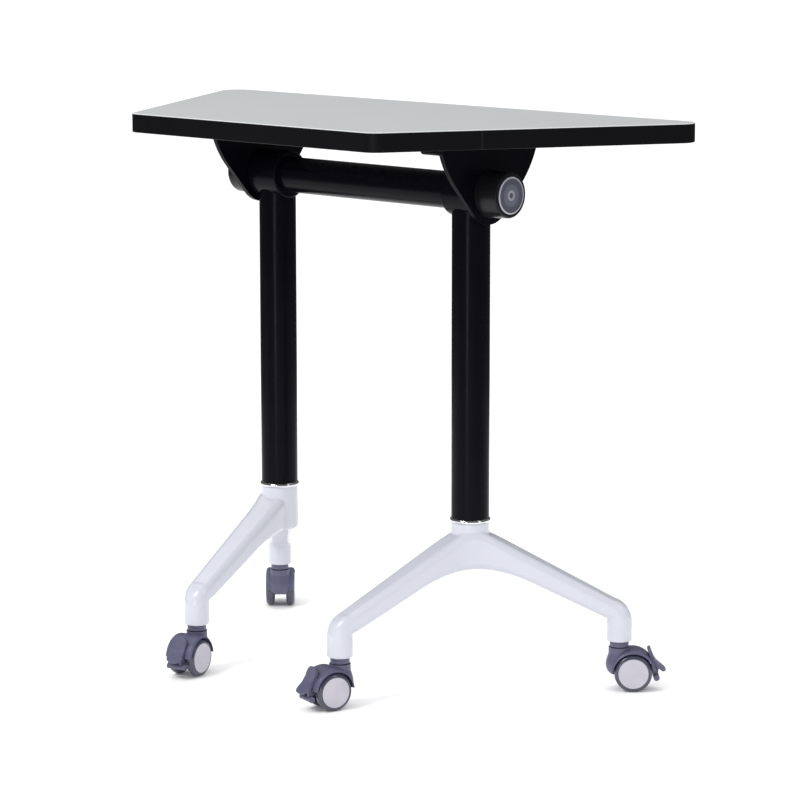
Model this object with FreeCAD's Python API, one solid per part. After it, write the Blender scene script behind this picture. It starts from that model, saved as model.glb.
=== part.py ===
import FreeCAD
import Part
import math
import os

# Trapezoidal flip-top training table on castors, in millimetres.
# +Z is up, +X runs along the beam to the right, -Y is the short side of the top and +Y the long side.
# The origin is on the floor, under the middle of the top.

# Table top
TABLE_HEIGHT = 750.0
TOP_LONG_SIDE = 878.0
TOP_SHORT_SIDE = 437.0
TOP_DEPTH = 397.0
TOP_THICKNESS = 25.0
TOP_CORNER_RADIUS = 24.0
LAMINATE_THICKNESS = 0.8
BAND_THICKNESS = 2.0
BAND_ROUNDING = 1.2

# Cross beam, on the flip axis, and the columns
BEAM_SETBACK = 33.0
BEAM_DROP = 93.5
BEAM_DIAMETER = 48.3
BEAM_WALL = 2.0
BEAM_INSERTION = 30.0
COLUMN_SPACING = 353.2
COLUMN_DIAMETER = 50.0
COLUMN_WALL = 2.0

# Leg heads, the castings that join beam and columns
HEAD_DIAMETER = 64.0
HEAD_LENGTH = 52.0
HEAD_ROUNDING = 2.0
HEAD_NECK_DROP = 40.5
SPIGOT_LENGTH = 40.0
JOURNAL_DIAMETER = 40.0
JOURNAL_LENGTH = 9.0
BEAM_SCREW_DIAMETER = 8.0
BEAM_SCREW_LENGTH = 7.0
BEAM_SCREW_SPACING = 14.0

# Flip brackets
BRACKET_PLATE = 6.5
BRACKET_HALF_WIDTH = 95.0
BRACKET_HUB_RADIUS = 40.0
BRACKET_FLANK_ANGLE = 48.0
BRACKET_FLANK_LENGTH = 54.0
FLANGE_REACH = 31.0
FLANGE_THICKNESS = 6.0
FLANGE_CORNER_RADIUS = 6.0
PAD_LENGTH = 33.0
PAD_THICKNESS = 14.0
PAD_ROUNDING = 4.0
BUSH_WALL = 2.0
BOARD_SCREW_HEAD_DIAMETER = 10.0
BOARD_SCREW_HEAD_HEIGHT = 3.0
BOARD_SCREW_DIAMETER = 5.0
BOARD_SCREW_BITE = 15.0
BOARD_SCREW_SPACING = 40.0

# Round covers with the release buttons
COVER_LENGTH = 35.0
COVER_BASE_DIAMETER = 62.0
COVER_END_DIAMETER = 58.4
COVER_ROUNDING = 2.5
COVER_CAVITY_DIAMETER = 50.0
COVER_SCREW_DIAMETER = 3.5
COVER_SCREW_HEAD_DIAMETER = 6.5
COVER_SCREW_BITE = 9.0
COVER_SCREW_COUNT = 3
BUTTON_DIAMETER = 48.6
BUTTON_THICKNESS = 9.0
BUTTON_PROUD = 1.0
BUTTON_ROUNDING = 1.2
BUTTON_RIM = 2.6
BUTTON_DISH = 0.5
LOCK_SEAT_SETBACK = 14.8
LOCK_SEAT_LENGTH = 6.0
LOCK_CONE_DIAMETER = 41.0
LOCK_CONE_TAPER = 2.0
LOCK_STEM_ACROSS_FLATS = 12.0
SPRING_DIAMETER = 25.0
SPRING_WIRE = 2.2
SPRING_SEAT_DEPTH = 8.0

# Chrome trim rings and the bolts that clamp the columns on the feet
RING_DIAMETER = 54.0
RING_HEIGHT = 6.0
COLUMN_NUT_HEIGHT = 10.0
FOOT_BOLT_DIAMETER = 10.0
FOOT_BOLT_ACROSS_FLATS = 16.0
FOOT_BOLT_HEAD_HEIGHT = 7.0
FOOT_BOLT_FLANGE_DIAMETER = 22.0
FOOT_BOLT_FLANGE_HEIGHT = 2.0
FOOT_BOLT_RECESS_DEPTH = 11.0

# Feet: two arms each, spread in plan, turned towards the short side
FOOT_REACH = 197.0
FOOT_SPREAD_ANGLE = 144.8
RIGHT_FOOT_TURN_ANGLE = 34.2
LEFT_FOOT_TURN_ANGLE = 27.7
FOOT_ARM_SLOPE_ANGLE = 26.4
FOOT_TIP_WIDTH = 34.0
FOOT_TIP_DEPTH = 26.0
FOOT_TIP_CORNER = 9.0
FOOT_ROOT_REACH = 68.0
FOOT_ROOT_WIDTH = 41.0
FOOT_ROOT_DEPTH = 31.0
FOOT_ROOT_CORNER = 10.0
FOOT_ARM_STATIONS = 11
FOOT_BEND_REACH = 56.0
FOOT_CREST_REACH = 24.0
FOOT_HUB_RISE = 21.5
FOOT_HUB_HEIGHT = 60.0
FOOT_HUB_DRAFT = 1.0
FOOT_HUB_ROUNDING = 5.0
FOOT_ARCH_OFFSET = -1.0
FOOT_STEM_DIAMETER = 33.4
FOOT_STEM_CORNER = 16.2
FOOT_STEM_LENGTH = 29.2
FOOT_STEM_ROUNDING = 1.5
FOOT_ELBOW_RADIUS = 3.0
SOCKET_DIAMETER = 16.0
SOCKET_LENGTH = 33.0

# Castors
CASTOR_HEIGHT = 66.3
CASTOR_TRAIL = 18.0
CASTOR_STEM_DIAMETER = 10.0
CASTOR_STEM_HOLD = 17.0
COLLAR_DIAMETER = 25.3
COLLAR_HEIGHT = 8.0
COLLAR_CHAMFER = 0.6
SWIVEL_GAP = 0.9
WHEEL_DIAMETER = 50.0
WHEEL_WIDTH = 12.0
WHEEL_GAP = 17.6
TREAD_ROUNDING = 4.8
WHEEL_POCKET_INNER_DIAMETER = 14.0
WHEEL_POCKET_OUTER_DIAMETER = 40.0
WHEEL_POCKET_DEPTH = 5.0
DISC_DIAMETER = 39.4
DISC_SEAT_DEPTH = 2.4
DISC_CROWN = 0.7
AXLE_DIAMETER = 6.0
HOOD_NECK_DIAMETER = 28.0
HOOD_NECK_HEIGHT = 8.0
HOOD_WEB_BOTTOM = 18.6
HOOD_WEB_END = 17.0
HOOD_ROUNDING = 4.4
FENDER_GAP = 1.8
FENDER_THICKNESS = 3.0
FENDER_FRONT_ANGLE = 174.0
FENDER_REAR_ANGLE = 48.0
FENDER_HORN_ANGLE = 8.0
WHEEL_SIDE_GAP = 0.5

# Nose of the castor's hood, given in shares of the neck's radius and of the height under the neck
NOSE_SHARES = ((1, 1), (1.13, 0.77), (1.24, 0.54), (1.17, 0.24), (0.82, 0))
NOSE_BOTTOM = 21.5

# Brake pedals, with their outline given in shares of the wheel's radius from the axle
PEDAL_LINE_SHARES = ((0.84, 1.22), (0.94, 0.95), (1.1, 0.6), (1.36, 0.31), (1.66, 0.07))
PEDAL_PIVOT_SHARES = (1.056, 0.08)
PEDAL_SHOE_SHARES = (1.24, -0.28)
PEDAL_THICKNESS = 4.6
PEDAL_WIDTH = 22.0
PEDAL_LENGTH = 40.0
PEDAL_CORNER_RADIUS = 10.0
PEDAL_PIN_DIAMETER = 5.0
PEDAL_LUG_RADIUS = 4.5
PEDAL_LUG_WIDTH = 8.0
PEDAL_SHOE_RADIUS = 4.0
PEDAL_SHOE_WIDTH = 27.0

# Way that each castor trails at rest, as degrees from +X towards +Y
CASTOR_HEADING_ANGLES = {
    "right_front": -106.0,
    "right_rear": 42.3,
    "left_front": -77.0,
    "left_rear": 132.3,
}

# Fits
RUNNING_CLEARANCE = 0.05
SEAT_CLEARANCE = 0.1
SIDE_CLEARANCE = 0.3
CUT_OVERRUN = 5.0
FLAT_TOLERANCE = 0.001
FULL_TURN = 360.0

# Derived places
TOP_UNDERSIDE = TABLE_HEIGHT - TOP_THICKNESS
BEAM_Z = TABLE_HEIGHT - BEAM_DROP
COLUMN_X = COLUMN_SPACING / 2
COLUMN_BORE = COLUMN_DIAMETER / 2 - COLUMN_WALL
COLUMN_TOP = BEAM_Z - HEAD_NECK_DROP
ELBOW_REACH = FOOT_REACH - FOOT_STEM_DIAMETER / 2 - FOOT_ELBOW_RADIUS
ELBOW_HEIGHT = CASTOR_HEIGHT + FOOT_STEM_LENGTH
ARM_TIP_OFFSET = FOOT_ELBOW_RADIUS + FOOT_TIP_DEPTH / 2
ARM_TIP_REACH = ELBOW_REACH + ARM_TIP_OFFSET * math.sin(math.radians(FOOT_ARM_SLOPE_ANGLE))
ARM_TIP_HEIGHT = ELBOW_HEIGHT + ARM_TIP_OFFSET * math.cos(math.radians(FOOT_ARM_SLOPE_ANGLE))
ARM_LINE_HEIGHT = ARM_TIP_HEIGHT + ARM_TIP_REACH * math.tan(math.radians(FOOT_ARM_SLOPE_ANGLE))
ARM_JOIN_REACH = (ARM_TIP_REACH + 2 * FOOT_ROOT_REACH) / 3
FOOT_HUB_TOP = ARM_LINE_HEIGHT + FOOT_HUB_RISE
FOOT_HUB_BOTTOM = FOOT_HUB_TOP - FOOT_HUB_HEIGHT
ARM_DEPTH_RATE = (FOOT_ROOT_DEPTH - FOOT_TIP_DEPTH) / (ARM_TIP_REACH - FOOT_ROOT_REACH)
ARM_INNER_DEPTH = FOOT_TIP_DEPTH + ARM_DEPTH_RATE * ARM_TIP_REACH
ARM_SLOPE_STRETCH = 1 / math.cos(math.radians(FOOT_ARM_SLOPE_ANGLE))
UNDERSIDE_HEIGHT = ARM_LINE_HEIGHT - ARM_INNER_DEPTH / 2 * ARM_SLOPE_STRETCH
UNDERSIDE_TILT = math.tan(math.radians(FOOT_ARM_SLOPE_ANGLE)) - ARM_DEPTH_RATE / 2 * ARM_SLOPE_STRETCH
UNDERSIDE_STRETCH = math.hypot(1, UNDERSIDE_TILT)
ARCH_TOP = FOOT_HUB_BOTTOM + FOOT_ARCH_OFFSET
ARCH_RADIUS = (UNDERSIDE_HEIGHT - ARCH_TOP) / (UNDERSIDE_STRETCH - 1)
ARCH_END_REACH = ARCH_RADIUS * UNDERSIDE_TILT / UNDERSIDE_STRETCH
COLUMN_BOTTOM = FOOT_HUB_TOP + RING_HEIGHT
HEAD_FACE_X = COLUMN_X + HEAD_LENGTH / 2
HEAD_INNER_X = COLUMN_X - HEAD_LENGTH / 2
BEAM_END_X = HEAD_INNER_X + BEAM_INSERTION
SPIGOT_RADIUS = COLUMN_BORE - SEAT_CLEARANCE
PLATE_START = SIDE_CLEARANCE
PLATE_END = PLATE_START + BRACKET_PLATE
COVER_END = PLATE_END + COVER_LENGTH
BUTTON_FACE = COVER_END + BUTTON_PROUD
BUTTON_BACK = BUTTON_FACE - BUTTON_THICKNESS
LOCK_SEAT_START = PLATE_END + LOCK_SEAT_SETBACK
LOCK_SEAT_END = LOCK_SEAT_START + LOCK_SEAT_LENGTH
SPIGOT_TOP = FOOT_HUB_TOP + SPIGOT_LENGTH
WHEEL_RADIUS = WHEEL_DIAMETER / 2
CASTOR_WIDTH = WHEEL_GAP + 2 * WHEEL_WIDTH
HOOD_TOP = CASTOR_HEIGHT - COLLAR_HEIGHT - SWIVEL_GAP

ORIGIN = FreeCAD.Vector(0, 0, 0)
ALONG_X = FreeCAD.Vector(1, 0, 0)
ALONG_Y = FreeCAD.Vector(0, 1, 0)
UP = FreeCAD.Vector(0, 0, 1)


def point(x, y, z):
    return FreeCAD.Vector(x, y, z)


def rod(radius, start, axis, length):
    """Round bar from the start point along the axis."""
    return Part.makeCylinder(radius, length, start, axis)


def sleeve(outer_radius, inner_radius, start, axis, length):
    """Round tube from the start point along the axis."""
    hole = rod(inner_radius, start - axis * CUT_OVERRUN, axis, length + 2 * CUT_OVERRUN)
    return rod(outer_radius, start, axis, length).cut(hole)


def polygon(points):
    return Part.makePolygon(list(points) + [points[0]])


def slab(outline, sweep):
    """Solid swept from a closed flat outline."""
    return Part.Face(outline).extrude(sweep)


def turned(outline, base, axis):
    """Solid turned from a closed flat outline."""
    return Part.Face(outline).revolve(base, axis, FULL_TURN)


def hexagon_bar(across_flats, start, axis, side, length):
    """Six-sided bar from the start point along the axis, with a corner towards the side direction."""
    across = axis.cross(side)
    radius = across_flats / math.sqrt(3)
    turns = [math.radians(FULL_TURN * i / 6) for i in range(6)]
    corners = [start + side * (radius * math.cos(t)) + across * (radius * math.sin(t)) for t in turns]
    return slab(polygon(corners), axis * length)


def rounded_outline(corners, radius):
    """Closed flat outline through the corners, each rounded by the radius."""
    bends = []
    for i, corner in enumerate(corners):
        back = (corners[i - 1] - corner).normalize()
        ahead = (corners[(i + 1) % len(corners)] - corner).normalize()
        half_angle = back.getAngle(ahead) / 2
        inward = (back + ahead).normalize()
        middle = corner + inward * (radius / math.sin(half_angle) - radius)
        reach = radius / math.tan(half_angle)
        bends.append((corner + back * reach, middle, corner + ahead * reach))
    edges = []
    for i, bend in enumerate(bends):
        following = bends[(i + 1) % len(bends)]
        edges.append(Part.Arc(*bend).toShape())
        edges.append(Part.LineSegment(bend[2], following[0]).toShape())
    return Part.Wire(edges)


def tangent_arc(start, tangent, end):
    """Arc that leaves the start along the tangent and reaches the end."""
    chord = end - start
    turn = tangent.getAngle(chord)
    side = (tangent - chord * (tangent.dot(chord) / chord.dot(chord))).normalize()
    middle = (start + end) * 0.5 + side * (chord.Length / 2 * math.tan(turn / 2))
    return Part.Arc(start, middle, end)


def flat_edges(shape, height):
    """Edges of the shape that lie level at this height."""
    return [
        edge
        for edge in shape.Edges
        if edge.BoundBox.ZLength < FLAT_TOLERANCE and abs(edge.BoundBox.ZMin - height) < FLAT_TOLERANCE
    ]


def round_edges(shape):
    return [edge for edge in shape.Edges if isinstance(edge.Curve, Part.Circle)]


def circle_edges(shape, axis, place):
    """Round edges of the shape whose centre lies at this place along the axis."""
    return [edge for edge in round_edges(shape) if abs(edge.Curve.Center.dot(axis) - place) < FLAT_TOLERANCE]


def mirrored(shape):
    return shape.mirror(ORIGIN, ALONG_X)


def on_flip_axis(along, radius=0):
    """Point beside the right leg head: along the flip axis from its outer face, above it by the radius."""
    return point(HEAD_FACE_X + along, BEAM_SETBACK, BEAM_Z + radius)


def turned_on_flip_axis(profile):
    """Solid turned about the flip axis from (along, radius) pairs."""
    corners = [on_flip_axis(along, radius) for along, radius in profile]
    return turned(polygon(corners), on_flip_axis(0), ALONG_X)


def top_slab(inset, bottom, thickness):
    """Slab of the top's outline, moved in from every side."""
    half_depth = TOP_DEPTH / 2
    flare = (TOP_LONG_SIDE - TOP_SHORT_SIDE) / 2
    slant_share = math.hypot(flare, TOP_DEPTH) / TOP_DEPTH
    front = inset - half_depth
    back = half_depth - inset
    front_half = TOP_SHORT_SIDE / 2 + inset * flare / TOP_DEPTH - inset * slant_share
    back_half = TOP_LONG_SIDE / 2 - inset * flare / TOP_DEPTH - inset * slant_share
    corners = [
        point(-front_half, front, bottom),
        point(front_half, front, bottom),
        point(back_half, back, bottom),
        point(-back_half, back, bottom),
    ]
    return slab(rounded_outline(corners, TOP_CORNER_RADIUS - inset), UP * thickness)


def board_screw_places():
    """Where the screws of the right bracket enter the top."""
    x = HEAD_FACE_X - FLANGE_REACH / 2
    sides = (-1, 1)
    outer = BRACKET_HALF_WIDTH - PAD_LENGTH / 2
    inner = outer - BOARD_SCREW_SPACING
    places = [side * offset for side in sides for offset in (outer, inner)]
    return [point(x, BEAM_SETBACK + y, TOP_UNDERSIDE - FLANGE_THICKNESS) for y in places]


def board_screws():
    """The right bracket's four screws, with round heads under the flange."""
    screws = []
    for seat in board_screw_places():
        head = rod(BOARD_SCREW_HEAD_DIAMETER / 2, seat, -UP, BOARD_SCREW_HEAD_HEIGHT)
        shank = rod(BOARD_SCREW_DIAMETER / 2, seat, UP, FLANGE_THICKNESS + BOARD_SCREW_BITE)
        screws.append(head.fuse(shank).removeSplitter())
    return screws


def board_screw_holes(depth):
    """Holes for both brackets' screws, up to a depth above the underside of the top."""
    radius = BOARD_SCREW_DIAMETER / 2 + RUNNING_CLEARANCE
    length = FLANGE_THICKNESS + depth
    holes = Part.makeCompound([rod(radius, seat, UP, length) for seat in board_screw_places()])
    return Part.makeCompound([holes, mirrored(holes)])


def top_board():
    bottom = TOP_UNDERSIDE + LAMINATE_THICKNESS
    board = top_slab(BAND_THICKNESS, bottom, TOP_THICKNESS - 2 * LAMINATE_THICKNESS)
    return board.cut(board_screw_holes(BOARD_SCREW_BITE))


def top_laminate():
    return top_slab(BAND_THICKNESS, TABLE_HEIGHT - LAMINATE_THICKNESS, LAMINATE_THICKNESS)


def backing_laminate():
    sheet = top_slab(BAND_THICKNESS, TOP_UNDERSIDE, LAMINATE_THICKNESS)
    return sheet.cut(board_screw_holes(BOARD_SCREW_BITE))


def edge_band():
    """Band round the board, with its outer edges eased."""
    outer = top_slab(0, TOP_UNDERSIDE, TOP_THICKNESS)
    rims = flat_edges(outer, TOP_UNDERSIDE) + flat_edges(outer, TABLE_HEIGHT)
    outer = outer.makeFillet(BAND_ROUNDING, rims)
    inside = top_slab(BAND_THICKNESS, TOP_UNDERSIDE - CUT_OVERRUN, TOP_THICKNESS + 2 * CUT_OVERRUN)
    return outer.cut(inside)


def bracket_plate():
    """Plate beside the leg head: broad under the top, drawn in to a round end below the flip axis."""
    lean = math.radians(BRACKET_FLANK_ANGLE)

    def at(y, z):
        return point(HEAD_FACE_X + PLATE_START, BEAM_SETBACK + y, BEAM_Z + z)

    top = BEAM_DROP - TOP_THICKNESS
    low_y = BRACKET_HUB_RADIUS * math.sin(lean)
    low_z = -BRACKET_HUB_RADIUS * math.cos(lean)
    flank_y = low_y + BRACKET_FLANK_LENGTH * math.cos(lean)
    flank_z = low_z + BRACKET_FLANK_LENGTH * math.sin(lean)
    right_tangent = point(0, math.cos(lean), math.sin(lean))
    left_tangent = point(0, -math.cos(lean), math.sin(lean))
    edges = [
        Part.LineSegment(at(-BRACKET_HALF_WIDTH, top), at(BRACKET_HALF_WIDTH, top)),
        tangent_arc(at(flank_y, flank_z), right_tangent, at(BRACKET_HALF_WIDTH, top)),
        Part.LineSegment(at(flank_y, flank_z), at(low_y, low_z)),
        Part.Arc(at(low_y, low_z), at(0, -BRACKET_HUB_RADIUS), at(-low_y, low_z)),
        Part.LineSegment(at(-low_y, low_z), at(-flank_y, flank_z)),
        tangent_arc(at(-flank_y, flank_z), left_tangent, at(-BRACKET_HALF_WIDTH, top)),
    ]
    outline = Part.Wire(Part.__sortEdges__([edge.toShape() for edge in edges]))
    return slab(outline, ALONG_X * BRACKET_PLATE)


def bracket_foot(near, far, thickness, rounding):
    """Level slab of the bracket against the top, between two places across the beam."""
    inner = HEAD_FACE_X - FLANGE_REACH
    outer = HEAD_FACE_X + PLATE_END
    height = TOP_UNDERSIDE - thickness
    corners = [
        point(inner, BEAM_SETBACK + near, height),
        point(outer, BEAM_SETBACK + near, height),
        point(outer, BEAM_SETBACK + far, height),
        point(inner, BEAM_SETBACK + far, height),
    ]
    foot = slab(rounded_outline(corners, FLANGE_CORNER_RADIUS), UP * thickness)
    return foot.makeFillet(rounding, flat_edges(foot, height))


def flip_bracket():
    """Right bracket: plate, mounting flange and a thick pad at each end of the flange."""
    pad_start = BRACKET_HALF_WIDTH - PAD_LENGTH
    flange_rounding = PAD_ROUNDING * FLANGE_THICKNESS / PAD_THICKNESS
    bracket = bracket_plate().fuse([
        bracket_foot(-BRACKET_HALF_WIDTH, BRACKET_HALF_WIDTH, FLANGE_THICKNESS, flange_rounding),
        bracket_foot(-BRACKET_HALF_WIDTH, -pad_start, PAD_THICKNESS, PAD_ROUNDING),
        bracket_foot(pad_start, BRACKET_HALF_WIDTH, PAD_THICKNESS, PAD_ROUNDING),
    ]).removeSplitter()
    bore_radius = JOURNAL_DIAMETER / 2 + RUNNING_CLEARANCE + BUSH_WALL + SEAT_CLEARANCE
    cuts = [rod(bore_radius, on_flip_axis(0), ALONG_X, PLATE_END + CUT_OVERRUN)]
    screw_bore = BOARD_SCREW_DIAMETER / 2 + RUNNING_CLEARANCE
    head_bore = BOARD_SCREW_HEAD_DIAMETER / 2 + SIDE_CLEARANCE
    for seat in board_screw_places():
        cuts.append(rod(screw_bore, seat, UP, FLANGE_THICKNESS + CUT_OVERRUN))
        cuts.append(rod(head_bore, seat, -UP, PAD_THICKNESS))
    for screw in cover_screws(RUNNING_CLEARANCE):
        cuts.append(screw)
    return bracket.cut(cuts)


def pivot_bush():
    inner_radius = JOURNAL_DIAMETER / 2 + RUNNING_CLEARANCE
    return sleeve(inner_radius + BUSH_WALL, inner_radius, on_flip_axis(PLATE_START), ALONG_X, BRACKET_PLATE)


def cover_screws(growth=0):
    """Countersunk screws from the plate into the right cover's wall; growth makes their holes."""
    pitch_radius = (COVER_BASE_DIAMETER + COVER_CAVITY_DIAMETER) / 4
    shank_radius = COVER_SCREW_DIAMETER / 2 + growth
    head_radius = COVER_SCREW_HEAD_DIAMETER / 2 + growth
    head_height = head_radius - shank_radius
    start = on_flip_axis(PLATE_START - growth, pitch_radius)
    length = BRACKET_PLATE + COVER_SCREW_BITE + 2 * growth
    screws = []
    for i in range(COVER_SCREW_COUNT):
        head = Part.makeCone(head_radius, shank_radius, head_height, start, ALONG_X)
        shank = rod(shank_radius, start, ALONG_X, length)
        screw = head.fuse(shank).removeSplitter()
        screw.rotate(on_flip_axis(0), ALONG_X, FULL_TURN * i / COVER_SCREW_COUNT)
        screws.append(screw)
    return screws


def hub_cover():
    """Right cover: a tapered cup with a conical lock seat behind the button's mouth."""
    mouth = BUTTON_DIAMETER / 2 + SIDE_CLEARANCE
    seat = LOCK_CONE_DIAMETER / 2 + SEAT_CLEARANCE
    profile = [
        (PLATE_END, COVER_CAVITY_DIAMETER / 2),
        (PLATE_END, COVER_BASE_DIAMETER / 2),
        (COVER_END, COVER_END_DIAMETER / 2),
        (COVER_END, mouth),
        (LOCK_SEAT_END, mouth),
        (LOCK_SEAT_END, seat - LOCK_CONE_TAPER),
        (LOCK_SEAT_START, seat),
        (LOCK_SEAT_START, COVER_CAVITY_DIAMETER / 2),
    ]
    cover = turned_on_flip_axis(profile)
    rims = circle_edges(cover, ALONG_X, HEAD_FACE_X + COVER_END)
    outer_rim = max(rims, key=lambda edge: edge.Curve.Radius)
    return cover.makeFillet(COVER_ROUNDING, [outer_rim]).cut(cover_screws(RUNNING_CLEARANCE))


def release_button():
    """Button cap in the right cover's mouth, with a raised rim round a shallow dish."""
    radius = BUTTON_DIAMETER / 2
    profile = [
        (BUTTON_BACK, 0),
        (BUTTON_BACK, radius),
        (BUTTON_FACE, radius),
        (BUTTON_FACE, radius - BUTTON_RIM),
        (BUTTON_FACE - BUTTON_DISH, radius - BUTTON_RIM - BUTTON_DISH),
        (BUTTON_FACE - BUTTON_DISH, 0),
    ]
    button = turned_on_flip_axis(profile)
    rims = circle_edges(button, ALONG_X, HEAD_FACE_X + BUTTON_FACE)
    outer_rim = max(rims, key=lambda edge: edge.Curve.Radius)
    return button.makeFillet(BUTTON_ROUNDING, [outer_rim])


def lock_plunger():
    """Plunger behind the right button: a six-sided stem in the leg head and a cone against the cover."""
    cone = LOCK_CONE_DIAMETER / 2
    post = SPRING_DIAMETER / 2
    profile = [
        (LOCK_SEAT_START, 0),
        (LOCK_SEAT_START, cone),
        (LOCK_SEAT_END, cone - LOCK_CONE_TAPER),
        (LOCK_SEAT_END, post),
        (BUTTON_BACK, post),
        (BUTTON_BACK, 0),
    ]
    stem_start = BEAM_END_X - HEAD_FACE_X
    stem_length = LOCK_SEAT_START - stem_start
    stem = hexagon_bar(LOCK_STEM_ACROSS_FLATS, on_flip_axis(stem_start), ALONG_X, UP, stem_length)
    return turned_on_flip_axis(profile).fuse(stem).removeSplitter()


def lock_spring():
    """Return spring round the right plunger's stem, from its seat in the journal to the cone."""
    start = JOURNAL_LENGTH - SPRING_SEAT_DEPTH
    outer = SPRING_DIAMETER / 2
    return sleeve(outer, outer - SPRING_WIRE, on_flip_axis(start), ALONG_X, LOCK_SEAT_START - start)


def beam_screw_places():
    """Where the right leg head's two grub screws meet the beam, at its back."""
    middle = (HEAD_INNER_X + BEAM_END_X) / 2
    y = BEAM_SETBACK + BEAM_DIAMETER / 2
    return [point(middle + side * BEAM_SCREW_SPACING / 2, y, BEAM_Z) for side in (-1, 1)]


def beam_screws():
    return [rod(BEAM_SCREW_DIAMETER / 2, place, ALONG_Y, BEAM_SCREW_LENGTH) for place in beam_screw_places()]


def leg_head():
    """Right leg head: a sleeve on the flip axis, a journal outside it and a spigot into the column."""
    radius = HEAD_DIAMETER / 2
    barrel = rod(radius, on_flip_axis(-HEAD_LENGTH), ALONG_X, HEAD_LENGTH)
    barrel = barrel.makeFillet(HEAD_ROUNDING, round_edges(barrel))
    neck = rod(COLUMN_DIAMETER / 2, point(COLUMN_X, BEAM_SETBACK, COLUMN_TOP), UP, HEAD_NECK_DROP)
    spigot = rod(SPIGOT_RADIUS, point(COLUMN_X, BEAM_SETBACK, COLUMN_TOP), -UP, SPIGOT_LENGTH)
    journal = rod(JOURNAL_DIAMETER / 2, on_flip_axis(0), ALONG_X, JOURNAL_LENGTH)
    head = barrel.fuse([neck, spigot, journal]).removeSplitter()
    spring_seat = SPRING_DIAMETER / 2 + SIDE_CLEARANCE
    stem_bore = LOCK_STEM_ACROSS_FLATS + 2 * SEAT_CLEARANCE
    cuts = [
        rod(BEAM_DIAMETER / 2 + SEAT_CLEARANCE, on_flip_axis(-HEAD_LENGTH), ALONG_X, BEAM_INSERTION),
        rod(spring_seat, on_flip_axis(JOURNAL_LENGTH), -ALONG_X, SPRING_SEAT_DEPTH),
        hexagon_bar(stem_bore, on_flip_axis(-HEAD_LENGTH), ALONG_X, UP, HEAD_LENGTH + JOURNAL_LENGTH),
    ]
    for place in beam_screw_places():
        cuts.append(rod(BEAM_SCREW_DIAMETER / 2 + RUNNING_CLEARANCE, place, ALONG_Y, HEAD_DIAMETER / 2))
    return head.cut(cuts)


def cross_beam():
    radius = BEAM_DIAMETER / 2
    start = point(-BEAM_END_X, BEAM_SETBACK, BEAM_Z)
    return sleeve(radius, radius - BEAM_WALL, start, ALONG_X, 2 * BEAM_END_X)


def column():
    foot = point(COLUMN_X, BEAM_SETBACK, COLUMN_BOTTOM)
    return sleeve(COLUMN_DIAMETER / 2, COLUMN_BORE, foot, UP, COLUMN_TOP - COLUMN_BOTTOM)


def trim_ring():
    """Right trim ring: a round-edged bead between the column and the foot."""
    bead = RING_HEIGHT / 2
    inner = SPIGOT_RADIUS + SEAT_CLEARANCE
    shoulder = RING_DIAMETER / 2 - bead

    def at(radius, height):
        return point(COLUMN_X + radius, BEAM_SETBACK, FOOT_HUB_TOP + height)

    edges = [
        Part.LineSegment(at(inner, 0), at(shoulder, 0)),
        Part.Arc(at(shoulder, 0), at(shoulder + bead, bead), at(shoulder, RING_HEIGHT)),
        Part.LineSegment(at(shoulder, RING_HEIGHT), at(inner, RING_HEIGHT)),
        Part.LineSegment(at(inner, RING_HEIGHT), at(inner, 0)),
    ]
    outline = Part.Wire([edge.toShape() for edge in edges])
    return turned(outline, point(COLUMN_X, BEAM_SETBACK, 0), UP)


def column_nut():
    start = point(COLUMN_X, BEAM_SETBACK, SPIGOT_TOP)
    bore = FOOT_BOLT_DIAMETER / 2 + RUNNING_CLEARANCE
    return sleeve(SPIGOT_RADIUS, bore, start, UP, COLUMN_NUT_HEIGHT)


def foot_bolt():
    """Right foot's flange bolt, up through the hub into the column's nut."""
    seat = point(COLUMN_X, BEAM_SETBACK, FOOT_HUB_BOTTOM + FOOT_BOLT_RECESS_DEPTH)
    flange = rod(FOOT_BOLT_FLANGE_DIAMETER / 2, seat, -UP, FOOT_BOLT_FLANGE_HEIGHT)
    head_height = FOOT_BOLT_FLANGE_HEIGHT + FOOT_BOLT_HEAD_HEIGHT
    head = hexagon_bar(FOOT_BOLT_ACROSS_FLATS, seat, -UP, ALONG_X, head_height)
    shank = rod(FOOT_BOLT_DIAMETER / 2, seat, UP, SPIGOT_TOP + COLUMN_NUT_HEIGHT - seat.z)
    return flange.fuse([head, shank]).removeSplitter()


def foot_section(centre, across, up, width, depth, corner_radius):
    """Closed section of the foot: a rectangle with rounded corners."""
    sides = ((-1, -1), (1, -1), (1, 1), (-1, 1))
    corners = [centre + across * (width / 2 * a) + up * (depth / 2 * b) for a, b in sides]
    return rounded_outline(corners, corner_radius)


def elbow_section(direction, across, share):
    """Section round an arm's elbow, from the top of the stem at 0 to the tip of the straight arm at 1."""
    turn = math.radians(90 - FOOT_ARM_SLOPE_ANGLE) * share
    up = direction * math.cos(turn) + UP * math.sin(turn)
    width = FOOT_STEM_DIAMETER + (FOOT_TIP_WIDTH - FOOT_STEM_DIAMETER) * share
    depth = FOOT_STEM_DIAMETER + (FOOT_TIP_DEPTH - FOOT_STEM_DIAMETER) * share
    corner = FOOT_STEM_CORNER + (FOOT_TIP_CORNER - FOOT_STEM_CORNER) * share
    inside = point(COLUMN_X, BEAM_SETBACK, ELBOW_HEIGHT) + direction * ELBOW_REACH
    centre = inside + up * (FOOT_ELBOW_RADIUS + depth / 2)
    return foot_section(centre, across, up, width, depth, corner)


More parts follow.
